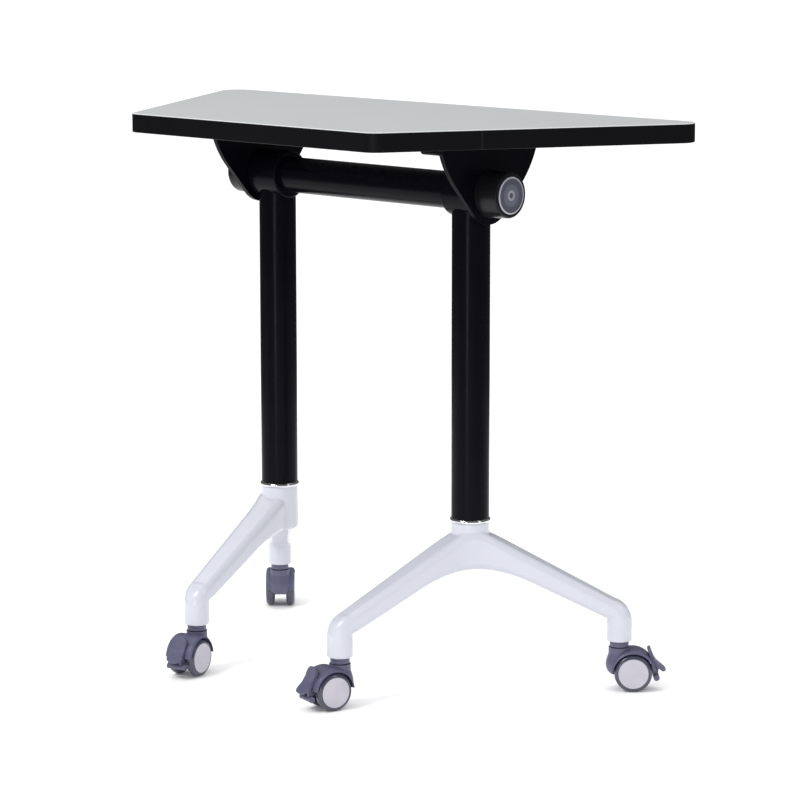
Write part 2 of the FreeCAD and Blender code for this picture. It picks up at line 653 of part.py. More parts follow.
def upright_section(place, across, reach):
    """Upright section of the foot at this reach from the column, arched below and crested at the column."""
    tilt = math.tan(math.radians(FOOT_ARM_SLOPE_ANGLE))
    share = (ARM_TIP_REACH - reach) / (ARM_TIP_REACH - FOOT_ROOT_REACH)
    width = FOOT_TIP_WIDTH + (FOOT_ROOT_WIDTH - FOOT_TIP_WIDTH) * share
    corner = FOOT_TIP_CORNER + (FOOT_ROOT_CORNER - FOOT_TIP_CORNER) * share
    depth = FOOT_TIP_DEPTH + (FOOT_ROOT_DEPTH - FOOT_TIP_DEPTH) * share
    half_depth = depth / 2 * ARM_SLOPE_STRETCH
    middle = ARM_LINE_HEIGHT - reach * tilt
    top = middle + half_depth
    bottom = middle - half_depth
    if reach < FOOT_CREST_REACH:
        top_tilt = tilt + ARM_DEPTH_RATE / 2 * ARM_SLOPE_STRETCH
        top -= top_tilt * (FOOT_CREST_REACH - reach) ** 2 / (2 * FOOT_CREST_REACH)
    if reach < ARCH_END_REACH:
        bottom = ARCH_TOP - ARCH_RADIUS + math.sqrt(ARCH_RADIUS ** 2 - reach ** 2)
    centre = point(COLUMN_X + place.x, BEAM_SETBACK + place.y, (top + bottom) / 2)
    return foot_section(centre, across, UP, width, top - bottom, corner)


def bend_shares(along):
    """How far the foot's line goes along an arm at this place on it, and how fast, in shares of the bend."""
    share = along / FOOT_BEND_REACH
    if abs(share) >= 1:
        return max(share, 0), float(share > 0)
    # A quartic leaves each straight arm with no jump in its curve.
    return (3 + 8 * share + 6 * share ** 2 - share ** 4) / 16, (2 + 3 * share - share ** 3) / 4


def foot_bend(front, rear):
    """Middle of the foot: one body from the front arm round the column into the rear arm."""
    sections = []
    for i in range(-FOOT_ARM_STATIONS, FOOT_ARM_STATIONS + 1):
        along = ARM_JOIN_REACH * i / FOOT_ARM_STATIONS
        front_share, front_rate = bend_shares(-along)
        rear_share, rear_rate = bend_shares(along)
        place = (front * front_share + rear * rear_share) * FOOT_BEND_REACH
        way = (rear * rear_rate - front * front_rate).normalize()
        sections.append(upright_section(place, way.cross(UP), abs(along)))
    return Part.makeLoft(sections, True, False)


def foot_limb(direction):
    """Castor stem, elbow and straight length of one arm."""
    across = direction.cross(UP)
    stem_top = elbow_section(direction, across, 0)
    elbow_shares = (0, 0.25, 0.5, 0.75, 1)
    elbow = Part.makeLoft([elbow_section(direction, across, share) for share in elbow_shares], True, False)
    tip = elbow_section(direction, across, 1)
    join = upright_section(direction * ARM_JOIN_REACH, across, ARM_JOIN_REACH)
    straight = Part.makeLoft([tip, join], True, True)
    return [slab(stem_top, UP * -FOOT_STEM_LENGTH), elbow, straight]


def foot_arms(turn):
    """Directions of the front and rear arm in plan, for a right foot turned towards the short side."""
    half_spread = FOOT_SPREAD_ANGLE / 2
    angles = [math.radians(-turn - half_spread), math.radians(-turn + half_spread)]
    return [point(math.cos(angle), math.sin(angle), 0) for angle in angles]


def foot(turn):
    """Right foot, cast in one: a hub with a spigot and two drooping arms that end in castor stems."""
    front, rear = foot_arms(turn)
    base = point(COLUMN_X, BEAM_SETBACK, FOOT_HUB_BOTTOM)
    radius = COLUMN_DIAMETER / 2
    hub = Part.makeCone(radius + FOOT_HUB_DRAFT, radius, FOOT_HUB_HEIGHT, base, UP)
    hub = hub.makeFillet(FOOT_HUB_ROUNDING, circle_edges(hub, UP, FOOT_HUB_BOTTOM))
    spigot = rod(SPIGOT_RADIUS, base + UP * FOOT_HUB_HEIGHT, UP, SPIGOT_LENGTH)
    casting = hub.fuse([spigot, foot_bend(front, rear)] + foot_limb(front) + foot_limb(rear))
    casting = casting.removeSplitter()
    casting = casting.makeFillet(FOOT_STEM_ROUNDING, flat_edges(casting, CASTOR_HEIGHT))
    bolt_bore = FOOT_BOLT_DIAMETER / 2 + SIDE_CLEARANCE
    recess = FOOT_BOLT_FLANGE_DIAMETER / 2 + SIDE_CLEARANCE
    cuts = [
        rod(bolt_bore, base, UP, FOOT_HUB_HEIGHT + SPIGOT_LENGTH + CUT_OVERRUN),
        rod(recess, base - UP * CUT_OVERRUN, UP, FOOT_BOLT_RECESS_DEPTH + CUT_OVERRUN),
    ]
    for direction in (front, rear):
        mouth = point(COLUMN_X, BEAM_SETBACK, CASTOR_HEIGHT) + direction * FOOT_REACH
        cuts.append(rod(SOCKET_DIAMETER / 2 + SEAT_CLEARANCE, mouth, UP, SOCKET_LENGTH))
    return casting.cut(cuts)


def castor_place(name):
    """Where the named castor's stem axis meets the floor."""
    side = 1 if name.startswith("right") else -1
    front, rear = foot_arms(RIGHT_FOOT_TURN_ANGLE if side > 0 else LEFT_FOOT_TURN_ANGLE)
    arm = front if name.endswith("front") else rear
    place = point(COLUMN_X, BEAM_SETBACK, 0) + arm * FOOT_REACH
    return point(side * place.x, place.y, 0)


def castor_socket():
    """Plastic socket in the foot's stem."""
    bore = CASTOR_STEM_DIAMETER / 2 + RUNNING_CLEARANCE
    return sleeve(SOCKET_DIAMETER / 2, bore, point(0, 0, CASTOR_HEIGHT), UP, SOCKET_LENGTH)


def castor_stem():
    start = point(0, 0, HOOD_TOP - CASTOR_STEM_HOLD)
    return rod(CASTOR_STEM_DIAMETER / 2, start, UP, CASTOR_HEIGHT + SOCKET_LENGTH - start.z)


def castor_collar():
    """Collar round the stem, between the foot and the swivelling hood."""
    bore = CASTOR_STEM_DIAMETER / 2 + RUNNING_CLEARANCE
    start = point(0, 0, CASTOR_HEIGHT - COLLAR_HEIGHT)
    collar = sleeve(COLLAR_DIAMETER / 2, bore, start, UP, COLLAR_HEIGHT)
    outer_rims = [edge for edge in round_edges(collar) if edge.Curve.Radius > bore + COLLAR_CHAMFER]
    return collar.makeChamfer(COLLAR_CHAMFER, outer_rims)


def from_axle(reach, turn, y=0):
    """Point of a castor at this reach from the axle, turned from the trailing way up."""
    angle = math.radians(turn)
    return point(CASTOR_TRAIL + reach * math.cos(angle), y, WHEEL_RADIUS + reach * math.sin(angle))


def pedal_point(shares, y=0):
    """Point of a castor given in shares of the wheel's radius from the axle."""
    return point(CASTOR_TRAIL + shares[0] * WHEEL_RADIUS, y, WHEEL_RADIUS + shares[1] * WHEEL_RADIUS)


def castor_axle():
    half = CASTOR_WIDTH / 2 - DISC_SEAT_DEPTH - SIDE_CLEARANCE
    return rod(AXLE_DIAMETER / 2, point(CASTOR_TRAIL, -half, WHEEL_RADIUS), ALONG_Y, 2 * half)


def castor_wheel():
    """Wheel on the +Y side: eased tread, a seat for its disc and a hollow inner side."""
    inner_face = WHEEL_GAP / 2
    outer_face = inner_face + WHEEL_WIDTH
    wheel = rod(WHEEL_RADIUS, from_axle(0, 0, inner_face), ALONG_Y, WHEEL_WIDTH)
    wheel = wheel.makeFillet(TREAD_ROUNDING, round_edges(wheel))
    cuts = [
        rod(AXLE_DIAMETER / 2 + RUNNING_CLEARANCE, from_axle(0, 0, 0), ALONG_Y, CASTOR_WIDTH),
        rod(DISC_DIAMETER / 2 + SEAT_CLEARANCE, from_axle(0, 0, outer_face), -ALONG_Y, DISC_SEAT_DEPTH),
        sleeve(
            WHEEL_POCKET_OUTER_DIAMETER / 2,
            WHEEL_POCKET_INNER_DIAMETER / 2,
            from_axle(0, 0, inner_face),
            ALONG_Y,
            WHEEL_POCKET_DEPTH,
        ),
    ]
    return wheel.cut(cuts)


def wheel_disc():
    """Light disc in the +Y wheel's outer face, slightly crowned."""
    face = CASTOR_WIDTH / 2
    radius = DISC_DIAMETER / 2
    back = face - DISC_SEAT_DEPTH

    def at(reach, y):
        return from_axle(reach, 0, y)

    crown = Part.Arc(at(radius, face), at(0, face + DISC_CROWN), at(-radius, face))
    half_way = crown.value((crown.FirstParameter * 3 + crown.LastParameter) / 4)
    edges = [
        Part.LineSegment(at(0, back), at(radius, back)),
        Part.LineSegment(at(radius, back), at(radius, face)),
        Part.Arc(at(radius, face), half_way, at(0, face + DISC_CROWN)),
        Part.LineSegment(at(0, face + DISC_CROWN), at(0, back)),
    ]
    return turned(Part.Wire([edge.toShape() for edge in edges]), at(0, 0), ALONG_Y)


def fender_band(start_angle, end_angle):
    """Side outline of the fender over the wheels, between two angles round the axle."""
    half = CASTOR_WIDTH / 2
    middle_angle = (start_angle + end_angle) / 2
    inner = WHEEL_RADIUS + FENDER_GAP
    outer = inner + FENDER_THICKNESS
    outer_points = [from_axle(outer, angle, -half) for angle in (start_angle, middle_angle, end_angle)]
    inner_points = [from_axle(inner, angle, -half) for angle in (end_angle, middle_angle, start_angle)]
    edges = [
        Part.Arc(*outer_points).toShape(),
        Part.LineSegment(outer_points[-1], inner_points[0]).toShape(),
        Part.Arc(*inner_points).toShape(),
        Part.LineSegment(inner_points[-1], outer_points[0]).toShape(),
    ]
    return Part.Wire(edges)


def castor_fender():
    """Fender over both wheels with rounded shoulders; it runs further down on each side of the pedal."""
    half = CASTOR_WIDTH / 2
    inner = WHEEL_RADIUS + FENDER_GAP
    outer = inner + FENDER_THICKNESS
    cap = rod(outer, from_axle(0, 0, -half), ALONG_Y, CASTOR_WIDTH)
    cap = cap.makeFillet(HOOD_ROUNDING, round_edges(cap))
    fender = cap.common(slab(fender_band(FENDER_HORN_ANGLE, FENDER_FRONT_ANGLE), ALONG_Y * CASTOR_WIDTH))
    slot_half = PEDAL_WIDTH / 2 + SIDE_CLEARANCE
    slot = Part.makeBox(outer, 2 * slot_half, outer, from_axle(0, 0, -slot_half))
    slot.rotate(from_axle(0, 0), ALONG_Y, 90 - FENDER_REAR_ANGLE)
    return fender.cut(slot)


def hood_nose():
    """Round neck under the collar that swells into the hood's nose."""
    neck = HOOD_NECK_DIAMETER / 2
    neck_bottom = HOOD_TOP - HOOD_NECK_HEIGHT
    places = [point(neck * a, 0, NOSE_BOTTOM + (neck_bottom - NOSE_BOTTOM) * b) for a, b in NOSE_SHARES]
    swell = Part.BSplineCurve()
    swell.interpolate(places)
    foot_of_axis = point(0, 0, NOSE_BOTTOM)
    corners = [places[-1], foot_of_axis, point(0, 0, HOOD_TOP), point(neck, 0, HOOD_TOP), places[0]]
    edges = [Part.LineSegment(a, b).toShape() for a, b in zip(corners, corners[1:])]
    return turned(Part.Wire(edges + [swell.toShape()]), ORIGIN, UP)


def hood_web(width):
    """Web between the wheels, from the nose over the axle to the lug for the pedal."""
    inside = WHEEL_RADIUS + FENDER_GAP + FENDER_THICKNESS / 2
    turns = (FENDER_REAR_ANGLE, (FENDER_REAR_ANGLE + FENDER_FRONT_ANGLE) / 2, FENDER_FRONT_ANGLE)
    crown = [from_axle(inside, turn, -width / 2) for turn in turns]
    corners = [
        crown[-1],
        point(0, -width / 2, HOOD_WEB_BOTTOM),
        point(CASTOR_TRAIL + HOOD_WEB_END, -width / 2, HOOD_WEB_BOTTOM),
        point(CASTOR_TRAIL + HOOD_WEB_END, -width / 2, WHEEL_RADIUS + HOOD_WEB_END / 2),
        crown[0],
    ]
    edges = [Part.LineSegment(a, b).toShape() for a, b in zip(corners, corners[1:])]
    return slab(Part.Wire(edges + [Part.Arc(*crown).toShape()]), ALONG_Y * width)


def castor_hood():
    """Hood of a castor: a fender over both wheels, a web between them, a neck and a lug for the pedal."""
    half = CASTOR_WIDTH / 2
    web_half = WHEEL_GAP / 2 - WHEEL_SIDE_GAP
    pocket_radius = WHEEL_RADIUS + FENDER_GAP
    nose = hood_nose()
    for side in (-1, 1):
        nose = nose.cut(rod(pocket_radius, from_axle(0, 0, side * web_half), ALONG_Y * side, half))
    pivot = pedal_point(PEDAL_PIVOT_SHARES)
    lug_start = CASTOR_TRAIL + HOOD_WEB_END / 2
    lug_corner = point(lug_start, -PEDAL_LUG_WIDTH / 2, pivot.z - PEDAL_LUG_RADIUS)
    lug = Part.makeBox(pivot.x - lug_start, PEDAL_LUG_WIDTH, 2 * PEDAL_LUG_RADIUS, lug_corner)
    lug_end = rod(PEDAL_LUG_RADIUS, pivot - ALONG_Y * (PEDAL_LUG_WIDTH / 2), ALONG_Y, PEDAL_LUG_WIDTH)
    body = castor_fender().fuse([nose, hood_web(2 * web_half), lug, lug_end]).removeSplitter()
    stem_bore = CASTOR_STEM_DIAMETER / 2 + RUNNING_CLEARANCE
    cuts = [
        rod(AXLE_DIAMETER / 2 + RUNNING_CLEARANCE, from_axle(0, 0, -half), ALONG_Y, CASTOR_WIDTH),
        rod(stem_bore, point(0, 0, HOOD_TOP), -UP, CASTOR_STEM_HOLD + SIDE_CLEARANCE),
        rod(PEDAL_PIN_DIAMETER / 2 + RUNNING_CLEARANCE, pivot - ALONG_Y * half, ALONG_Y, CASTOR_WIDTH),
    ]
    return body.cut(cuts)


def pedal_leaf():
    """S-curved tread plate of the pedal, with round ends and rounded corners."""
    half_width = PEDAL_WIDTH / 2
    line = Part.BSplineCurve()
    line.interpolate([pedal_point(shares, -half_width) for shares in PEDAL_LINE_SHARES])
    steps = len(PEDAL_LINE_SHARES) * 2
    upper = []
    lower = []
    for i in range(steps + 1):
        at = line.FirstParameter + (line.LastParameter - line.FirstParameter) * i / steps
        along = FreeCAD.Vector(*line.tangent(at)[0])
        normal = ALONG_Y.cross(along)
        upper.append(line.value(at) + normal * (PEDAL_THICKNESS / 2))
        lower.append(line.value(at) - normal * (PEDAL_THICKNESS / 2))
    first = pedal_point(PEDAL_LINE_SHARES[0], -half_width)
    last = pedal_point(PEDAL_LINE_SHARES[-1], -half_width)
    first_way = FreeCAD.Vector(*line.tangent(line.FirstParameter)[0])
    last_way = FreeCAD.Vector(*line.tangent(line.LastParameter)[0])
    upper_side = Part.BSplineCurve()
    upper_side.interpolate(upper)
    lower_side = Part.BSplineCurve()
    lower_side.interpolate(lower)
    edges = [
        upper_side.toShape(),
        Part.Arc(upper[-1], last + last_way * (PEDAL_THICKNESS / 2), lower[-1]).toShape(),
        lower_side.toShape(),
        Part.Arc(lower[0], first - first_way * (PEDAL_THICKNESS / 2), upper[0]).toShape(),
    ]
    leaf = slab(Part.Wire(Part.__sortEdges__(edges)), ALONG_Y * PEDAL_WIDTH)
    down = (last - first).normalize()
    outward = ALONG_Y.cross(down)
    middle = (first + last) * 0.5 + ALONG_Y * half_width - outward * (PEDAL_LENGTH / 2)
    corners = [
        middle + down * (PEDAL_LENGTH / 2 * a) + ALONG_Y * (half_width * b)
        for a, b in ((-1, -1), (-1, 1), (1, 1), (1, -1))
    ]
    return leaf.common(slab(rounded_outline(corners, PEDAL_CORNER_RADIUS), outward * PEDAL_LENGTH))


def brake_pedal():
    """Brake pedal: the leaf, two ears with a pin through the hood's lug, and a shoe behind the wheels."""
    pivot = pedal_point(PEDAL_PIVOT_SHARES)
    shoe = pedal_point(PEDAL_SHOE_SHARES)
    web_half = WHEEL_GAP / 2 - WHEEL_SIDE_GAP
    ear_start = PEDAL_LUG_WIDTH / 2 + SIDE_CLEARANCE
    pieces = [
        rod(PEDAL_PIN_DIAMETER / 2, pivot - ALONG_Y * web_half, ALONG_Y, 2 * web_half),
        rod(PEDAL_SHOE_RADIUS, shoe - ALONG_Y * (PEDAL_SHOE_WIDTH / 2), ALONG_Y, PEDAL_SHOE_WIDTH),
    ]
    corners = [
        pedal_point(PEDAL_LINE_SHARES[2]),
        pedal_point(PEDAL_LINE_SHARES[3]),
        shoe + ALONG_X * (PEDAL_SHOE_RADIUS / 2),
        shoe - UP * (PEDAL_SHOE_RADIUS / 2),
        pivot - ALONG_X * (PEDAL_LUG_RADIUS / 2) - UP * (PEDAL_LUG_RADIUS / 2),
        pivot - ALONG_X * PEDAL_LUG_RADIUS,
    ]
    for side in (-1, 1):
        offset = ALONG_Y * (side * ear_start)
        ear_outline = polygon([corner + offset for corner in corners])
        ear = slab(ear_outline, ALONG_Y * (side * (web_half - ear_start)))
        eye = rod(PEDAL_LUG_RADIUS, pivot + offset, ALONG_Y * side, web_half - ear_start)
        pieces += [ear, eye]
    return pedal_leaf().fuse(pieces).removeSplitter()


def castor_pieces():
    """Moving pieces of a castor that trails along +X, with its stem on the Z axis."""
    across = point(0, 1, 0)
    wheel = castor_wheel()
    disc = wheel_disc()
    return {
        "castor_hood": castor_hood(),
        "castor_axle": castor_axle(),
        "wheel_one": wheel,
        "wheel_two": wheel.mirror(ORIGIN, across),
        "wheel_disc_one": disc,
        "wheel_disc_two": disc.mirror(ORIGIN, across),
        "brake_pedal": brake_pedal(),
    }


def set_down(shape, name):
    """Copy of a castor piece, turned and moved to the named castor's place."""
    copy = shape.copy()
    copy.rotate(ORIGIN, UP, CASTOR_HEADING_ANGLES[name])
    copy.translate(castor_place(name))
    return copy


def table():
    """All pieces by name; groups hold like pieces."""
    pieces = {
        "top_board": top_board(),
        "top_laminate": top_laminate(),
        "backing_laminate": backing_laminate(),
        "edge_band": edge_band(),
        "cross_beam": cross_beam(),
        "right_foot": foot(RIGHT_FOOT_TURN_ANGLE),
        "left_foot": mirrored(foot(LEFT_FOOT_TURN_ANGLE)),
    }
    pairs = {
        "flip_bracket": flip_bracket(),
        "hub_cover": hub_cover(),
        "release_button": release_button(),
        "lock_plunger": lock_plunger(),
        "lock_spring": lock_spring(),
        "leg_head": leg_head(),
        "column": column(),
    }
    for name, shape in pairs.items():
        pieces["right_" + name] = shape
        pieces["left_" + name] = mirrored(shape)
    groups = {
        "trim_rings": [trim_ring()],
        "pivot_bushes": [pivot_bush()],
        "column_nuts": [column_nut()],
        "foot_bolts": [foot_bolt()],
        "bracket_screws": board_screws(),
        "cover_screws": cover_screws(),
        "beam_screws": beam_screws(),
    }
    for name, shapes in groups.items():
        pieces[name] = Part.makeCompound(shapes + [mirrored(shape) for shape in shapes])
    castor = castor_pieces()
    for place in CASTOR_HEADING_ANGLES:
        for name, shape in castor.items():
            pieces[place + "_" + name] = set_down(shape, place)
    fixed = {
        "castor_sockets": castor_socket(),
        "castor_stems": castor_stem(),
        "castor_collars": castor_collar(),
    }
    for name, shape in fixed.items():
        pieces[name] = Part.makeCompound([set_down(shape, place) for place in CASTOR_HEADING_ANGLES])
    return pieces


os.makedirs("parts", exist_ok=True)
for node, solid in table().items():
    solid.exportStep("parts/" + node + ".step")
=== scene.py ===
"""Looks of the trapezoidal training table: materials, light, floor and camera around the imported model."""
import math

import bpy
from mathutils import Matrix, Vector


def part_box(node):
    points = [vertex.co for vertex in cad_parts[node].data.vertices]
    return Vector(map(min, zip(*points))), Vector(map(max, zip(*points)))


CASTORS = ("right_front", "right_rear", "left_front", "left_rear")
SIDES = ("left", "right")

# Camera, fitted to the photograph, in metres, degrees and millimetres
CAMERA_PLACE = (2.81409, -2.94744, 1.08383)
CAMERA_YAW = 42.8230
CAMERA_PITCH = 9.9724
CAMERA_ROLL = 0.042
CAMERA_LENS = 139.451
CAMERA_SENSOR = 36.0

# Colours, linear
LAMINATE_GREY = (0.420, 0.431, 0.440)
BACKING_GREY = (0.12, 0.12, 0.124)
BAND_BLACK = (0.0022, 0.0022, 0.0034)
# Next colour: painted highlight, a pale line along the top edge of the edge band
BAND_EDGE_HIGHLIGHT_GREY = (0.52, 0.53, 0.54)
BAND_SEAM_GREY = (0.012, 0.012, 0.015)
COAT_BLACK = (0.0023, 0.0022, 0.0040)
COVER_BLACK = (0.0062, 0.0060, 0.0078)
BUTTON_GREY = (0.090, 0.094, 0.130)
BUTTON_BAND_GREY = (0.056, 0.058, 0.080)
BUTTON_RING_GREY = (0.23, 0.23, 0.28)
BUTTON_RIM_GREY = (0.37, 0.37, 0.43)
FOOT_WHITE = (0.504, 0.514, 0.582)
CASTOR_VIOLET = (0.085, 0.083, 0.143)
WHEEL_VIOLET = (0.044, 0.044, 0.074)
DISC_GREY = (0.447, 0.432, 0.490)
STEEL_GREY = (0.46, 0.46, 0.47)
CHROME_GREY = (0.80, 0.80, 0.82)
NYLON_BLACK = (0.02, 0.02, 0.022)
BOARD_BROWN = (0.36, 0.25, 0.14)

# Details that are only in the finish, in metres
# Next value: depth of the painted highlight below the edge band's top
BAND_EDGE_HIGHLIGHT_DEPTH = 0.0012
BAND_SEAM_Y = -0.073
BAND_SEAM_WIDTH = 0.0012
PEDAL_RIB_PITCH = 0.0024
PEDAL_RIB_LOWEST = 0.040
MOULD_GRAIN_HEIGHT = 0.00012
WHEEL_GRAIN_HEIGHT = 0.00002

# Grain of moulded plastic, in repeats to the metre
MOULD_GRAIN = 1400
WHEEL_GRAIN = 900

# Scale of the edge band's draw lines along each axis, long round the top and fine across the band
BAND_LINE_SCALE = (0.04, 0.04, 1.0)

# Rings of the button's face: share of its radius, and the colour there
BUTTON_RINGS = (
    (0.00, BUTTON_BAND_GREY),
    (0.13, BUTTON_BAND_GREY),
    (0.16, BUTTON_RING_GREY),
    (0.26, BUTTON_RING_GREY),
    (0.30, BUTTON_GREY),
    (0.56, BUTTON_GREY),
    (0.62, BUTTON_BAND_GREY),
    (0.90, BUTTON_BAND_GREY),
    (0.93, BUTTON_RIM_GREY),
    (0.98, BUTTON_RIM_GREY),
    (1.00, BUTTON_GREY),
)

# Studio, in metres and watts
BACKDROP_STRENGTH = 1.12
REFLECTED_STRENGTH = 0.14
FLOOR_WHITE = (0.95, 0.95, 0.95)
FLOOR_HALF = 1.8
LIGHT_TARGET = (0, 0, 0.4)
LIGHTS = {
    "strip_box": {"place": (2.0, -4.7, 0.1), "size": (0.35, 3.0), "watts": 40},
    "side_box": {"place": (3.4, 0.6, 1.9), "size": (0.8, 1.6), "watts": 10},
    "front_box": {"place": (-0.4, -2.6, 3.0), "size": (1.1, 1.1), "watts": 56},
    "overhead_box": {"place": (-0.8, 0.8, 3.0), "size": (3.0, 1.8), "watts": 20},
}


class Look:
    """One material: its node tree and its main shader."""

    def __init__(self, name, colour, roughness, specular=0.5, metallic=0.0):
        self.material = bpy.data.materials.new(name)
        self.material.use_nodes = True
        self.tree = self.material.node_tree
        self.shader = self.tree.nodes["Principled BSDF"]
        self.colour = colour
        self.roughness = roughness
        self.bump_normal = None
        self.shade("Base Color", (*colour, 1))
        self.shade("Roughness", roughness)
        self.shade("Specular IOR Level", specular)
        self.shade("Metallic", metallic)

    def feed(self, socket, value):
        """Sets a socket to a value, or links it to another node's output."""
        if isinstance(value, bpy.types.NodeSocket):
            self.tree.links.new(value, socket)
        else:
            socket.default_value = value

    def shade(self, socket, value):
        """Feeds a socket of the main shader."""
        self.feed(self.shader.inputs[socket], value)

    def node(self, kind, inputs, **settings):
        """New node with its settings made and its inputs fed."""
        made = self.tree.nodes.new(kind)
        for name, value in settings.items():
            setattr(made, name, value)
        for name, value in inputs.items():
            self.feed(made.inputs[name], value)
        return made

    def place(self):
        """Place on the object, in metres."""
        return self.node("ShaderNodeTexCoord", {}).outputs["Object"]

    def along(self, axis):
        """Place on the object along one of its axes, in metres."""
        return self.node("ShaderNodeSeparateXYZ", {"Vector": self.place()}).outputs[axis]

    def maths(self, operation, *values):
        """Result of one operation; each value is a number or another node's output."""
        made = self.node("ShaderNodeMath", {}, operation=operation)
        for socket, value in zip(made.inputs, values):
            self.feed(socket, value)
        return made.outputs["Value"]

    def span(self, value, start=0.0, end=1.0, low=0.0, high=1.0):
        """Runs from low to high as the value runs from start to end."""
        ends = {"From Min": start, "From Max": end, "To Min": low, "To Max": high}
        return self.node("ShaderNodeMapRange", {"Value": value, **ends}).outputs["Result"]

    def noise(self, scale, detail, axis_scale=None):
        """Grain at this many repeats to the metre; a small axis scale draws it out along that axis."""
        place = self.place()
        if axis_scale is not None:
            drawn = {"Vector": place, "Scale": axis_scale}
            place = self.node("ShaderNodeMapping", drawn).outputs["Vector"]
        grain = {"Vector": place, "Scale": scale, "Detail": detail}
        return self.node("ShaderNodeTexNoise", grain).outputs["Fac"]

    def ramp(self, value, stops):
        """Colour that runs through the stops, each a value and the colour there."""
        made = self.node("ShaderNodeValToRGB", {"Fac": value})
        elements = made.color_ramp.elements
        while len(elements) < len(stops):
            elements.new(position=0.5)
        for element, (position, colour) in zip(elements, stops):
            element.position = position
            element.color = (*colour, 1)
        return made.outputs["Color"]

    def tint(self, value, spread, start=0.3, end=0.7):
        """Base colour that varies by the spread either way as the value runs from start to end."""
        low = [channel * (1 - spread) for channel in self.colour]
        high = [channel * (1 + spread) for channel in self.colour]
        self.shade("Base Color", self.ramp(value, ((start, low), (end, high))))

    def paint_over(self, share, colour):
        """Lays another colour over a tinted base colour where the share is 1."""
        below = self.shader.inputs["Base Color"].links[0].from_socket
        layers = {"A": below, "B": (*colour, 1), "Factor": share}
        self.shade("Base Color", self.node("ShaderNodeMix", layers, data_type="RGBA").outputs["Result"])

    def vary_roughness(self, value, below, above):
        """Roughness that varies round its own level as the value runs from 0 to 1."""
        self.shade("Roughness", self.span(value, low=self.roughness - below, high=self.roughness + above))

    def bump(self, value, strength, distance):
        """Raises the surface by the value; a second call adds to the first."""
        made = self.node("ShaderNodeBump", {"Height": value, "Strength": strength, "Distance": distance})
        if self.bump_normal is not None:
            self.feed(made.inputs["Normal"], self.bump_normal)
        self.bump_normal = made.outputs["Normal"]
        self.shade("Normal", self.bump_normal)


def powder_coat(name, colour, specular, roughness):
    """Fine orange-peel texture of a baked powder coat."""
    look = Look(name, colour, roughness, specular)
    look.bump(look.noise(scale=900, detail=2.0), strength=0.18, distance=0.0002)
    look.tint(look.noise(scale=14, detail=4.0), spread=0.12)
    look.vary_roughness(look.noise(scale=60, detail=3.0), below=0.05, above=0.06)
    return look


def moulded_plastic(name, colour, specular, roughness, grain=MOULD_GRAIN, height=MOULD_GRAIN_HEIGHT):
    """Spark-eroded mould grain with a little variation of gloss."""
    look = Look(name, colour, roughness, specular)
    look.bump(look.noise(scale=grain, detail=2.0), strength=0.22, distance=height)
    look.tint(look.noise(scale=35, detail=3.0), spread=0.07)
    look.vary_roughness(look.noise(scale=90, detail=2.0), below=0.05, above=0.05)
    return look


def pedal_plastic(name, colour, specular, roughness):
    """Moulded plastic with level grip ribs across the upper end of a brake pedal."""
    look = moulded_plastic(name, colour, specular, roughness)
    height = look.along("Z")
    wave = look.maths("PINGPONG", height, PEDAL_RIB_PITCH / 2)
    rib = look.span(wave, start=PEDAL_RIB_PITCH / 4, end=PEDAL_RIB_PITCH / 2)
    upper_end = look.maths("GREATER_THAN", height, PEDAL_RIB_LOWEST)
    look.bump(look.maths("MULTIPLY", rib, upper_end), strength=0.8, distance=0.0004)
    return look


def laminate(name, colour, specular, roughness):
    """Pressed laminate: faint speckle, pearl texture and a satin sheen."""
    look = Look(name, colour, roughness, specular)
    look.tint(look.noise(scale=420, detail=5.0), spread=0.025)
    look.bump(look.noise(scale=1800, detail=2.0), strength=0.12, distance=0.0001)
    look.vary_roughness(look.noise(scale=8, detail=3.0), below=0.04, above=0.05)
    return look


def edge_band(name):
    """Extruded band: draw lines, a painted highlight as a pale line along the upper edge, and a butt joint
    on the right slanted side.
    """
    look = Look(name, BAND_BLACK, roughness=0.42, specular=0.12)
    look.tint(look.noise(scale=18, detail=3.0), spread=0.15)
    right_half = look.maths("GREATER_THAN", look.along("X"), 0.0)
    seam = look.maths("COMPARE", look.along("Y"), BAND_SEAM_Y, BAND_SEAM_WIDTH / 2)
    look.paint_over(look.maths("MULTIPLY", seam, right_half), BAND_SEAM_GREY)
    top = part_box("edge_band")[1].z
    # Painted highlight: a pale line along the band's rounded top edge stands in for the light it catches
    painted_highlight = look.span(look.along("Z"), start=top - BAND_EDGE_HIGHLIGHT_DEPTH, end=top - BAND_EDGE_HIGHLIGHT_DEPTH / 2)
    look.paint_over(painted_highlight, BAND_EDGE_HIGHLIGHT_GREY)
    lines = look.noise(scale=260, detail=2.0, axis_scale=BAND_LINE_SCALE)
    look.bump(lines, strength=0.04, distance=0.0001)
    look.vary_roughness(look.noise(scale=50, detail=3.0), below=0.0, above=0.10)
    return look


def gloss_paint(name):
    """White gloss paint on a casting: soft waviness under a clear gloss."""
    look = Look(name, FOOT_WHITE, roughness=0.30)
    look.tint(look.noise(scale=9, detail=3.0), spread=0.018)
    look.bump(look.noise(scale=140, detail=2.0), strength=0.05, distance=0.0006)
    look.bump(look.noise(scale=1100, detail=2.0), strength=0.05, distance=0.0001)
    look.vary_roughness(look.noise(scale=40, detail=3.0), below=0.04, above=0.04)
    look.shade("Coat Weight", 0.6)
    look.shade("Coat Roughness", 0.08)
    return look


def polished_chrome(name):
    """Chrome plating with faint differences of polish."""
    look = Look(name, CHROME_GREY, roughness=0.08, metallic=1.0)
    look.vary_roughness(look.noise(scale=220, detail=3.0), below=0.03, above=0.05)
    return look


def turned_steel(name):
    """Zinc plated steel with fine machining marks."""
    look = Look(name, STEEL_GREY, roughness=0.35, metallic=1.0)
    look.tint(look.noise(scale=70, detail=4.0), spread=0.10)
    look.vary_roughness(look.noise(scale=300, detail=3.0), below=0.07, above=0.10)
    look.bump(look.noise(scale=700, detail=2.0), strength=0.10, distance=0.0001)
    return look


